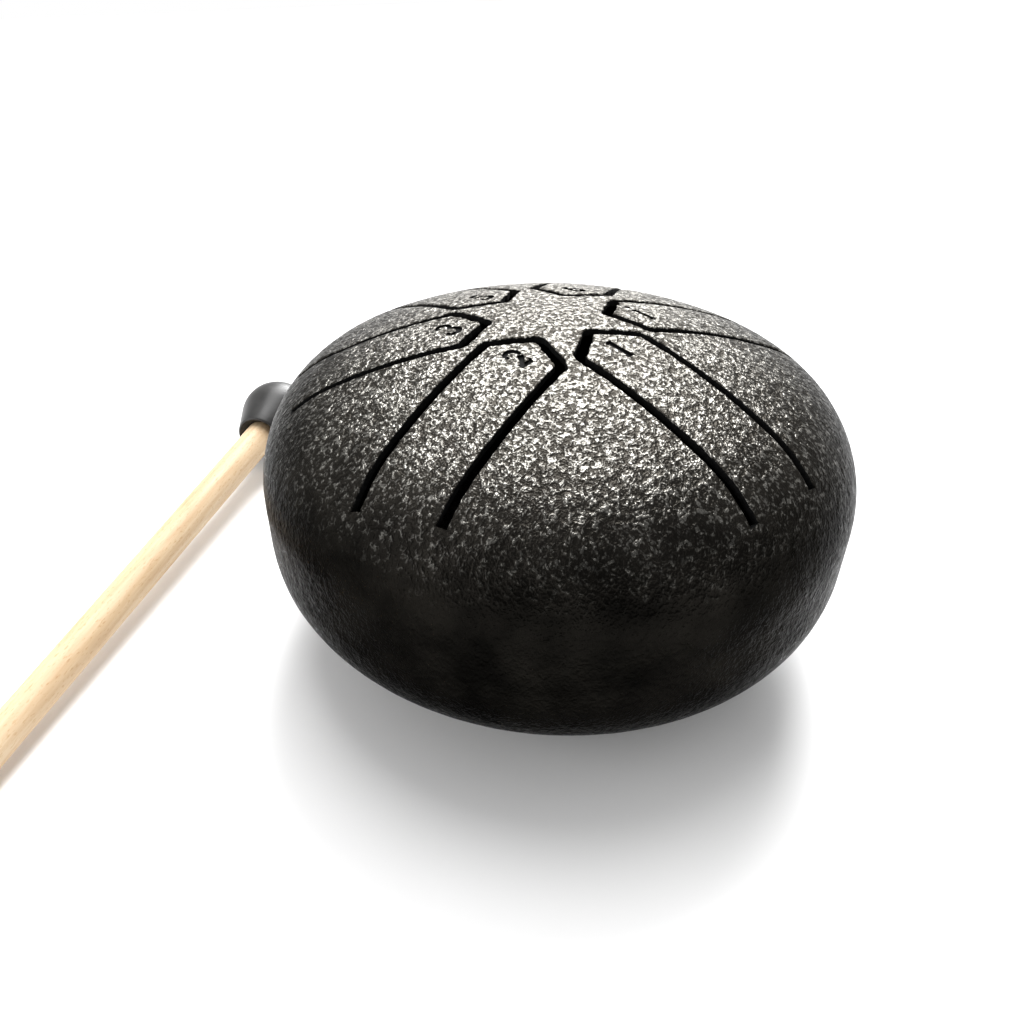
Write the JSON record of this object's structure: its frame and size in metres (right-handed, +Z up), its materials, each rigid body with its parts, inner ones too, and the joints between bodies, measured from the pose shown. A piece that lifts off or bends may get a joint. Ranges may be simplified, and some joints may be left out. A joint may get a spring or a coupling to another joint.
{
  "type": "steel tongue drum",
  "caption": "Small round steel tongue drum, black textured paint, with numbered sprung tongues in the crowned top, rubber feet and a wooden mallet with a rubber head.",
  "frame": {"origin": "on the drum's axis, in the plane its feet rest on", "axes": "+Z up along the drum's axis; -Y towards the player, where tongue 1 points; the mallet lies at -X and +Y"},
  "size_m": [0.1443, 0.118, 0.0478],
  "materials": {
    "black_paint": "semi-gloss crinkle-texture black paint on steel",
    "foot_rubber": "matt black rubber",
    "head_rubber": "satin dark grey rubber",
    "stick_wood": "sanded pale birch, unvarnished"
  },
  "bodies": {
    "drum": {"top_shell": "black_paint", "bottom_shell": "black_paint", "foot_1": "foot_rubber", "foot_2": "foot_rubber", "foot_3": "foot_rubber"},
    "tongue_1": {"tongue_1": "black_paint"},
    "tongue_2": {"tongue_2": "black_paint"},
    "tongue_3": {"tongue_3": "black_paint"},
    "tongue_5": {"tongue_5": "black_paint"},
    "tongue_6": {"tongue_6": "black_paint"},
    "tongue_high_1": {"tongue_high_1": "black_paint"},
    "mallet": {"mallet_stick": "stick_wood", "mallet_head": "head_rubber"}
  },
  "joints": [
    {"name": "tongue_1_flex", "type": "hinge", "parent": "drum", "child": "tongue_1", "pos_m": [-0.00128, -0.03587, 0.03659], "axis": [-0.9997, 0.0224, 0], "range_deg": [-0.5, 0.5], "stiffness_Nm_per_rad": 20},
    {"name": "tongue_2_flex", "type": "hinge", "parent": "drum", "child": "tongue_2", "pos_m": [-0.03378, -0.01158, 0.03681], "axis": [-0.413, 0.9107, 0], "range_deg": [-0.5, 0.5], "stiffness_Nm_per_rad": 20},
    {"name": "tongue_3_flex", "type": "hinge", "parent": "drum", "child": "tongue_3", "pos_m": [-0.02865, 0.01919, 0.03809], "axis": [0.5701, 0.8216, 0], "range_deg": [-0.5, 0.5], "stiffness_Nm_per_rad": 20},
    {"name": "tongue_5_flex", "type": "hinge", "parent": "drum", "child": "tongue_5", "pos_m": [0.00022, 0.03534, 0.03722], "axis": [0.9991, -0.0429, 0], "range_deg": [-0.5, 0.5], "stiffness_Nm_per_rad": 20},
    {"name": "tongue_6_flex", "type": "hinge", "parent": "drum", "child": "tongue_6", "pos_m": [0.03013, 0.01853, 0.03718], "axis": [0.5038, -0.8638, 0], "range_deg": [-0.5, 0.5], "stiffness_Nm_per_rad": 20},
    {"name": "tongue_high_1_flex", "type": "hinge", "parent": "drum", "child": "tongue_high_1", "pos_m": [0.03198, -0.01502, 0.03724], "axis": [-0.3886, -0.9214, 0], "range_deg": [-0.5, 0.5], "stiffness_Nm_per_rad": 20},
    {"name": "mallet_lift", "type": "slide", "parent": "drum", "child": "mallet", "axis": [0, 0, 1], "range_m": [0, 0.06]}
  ]
}
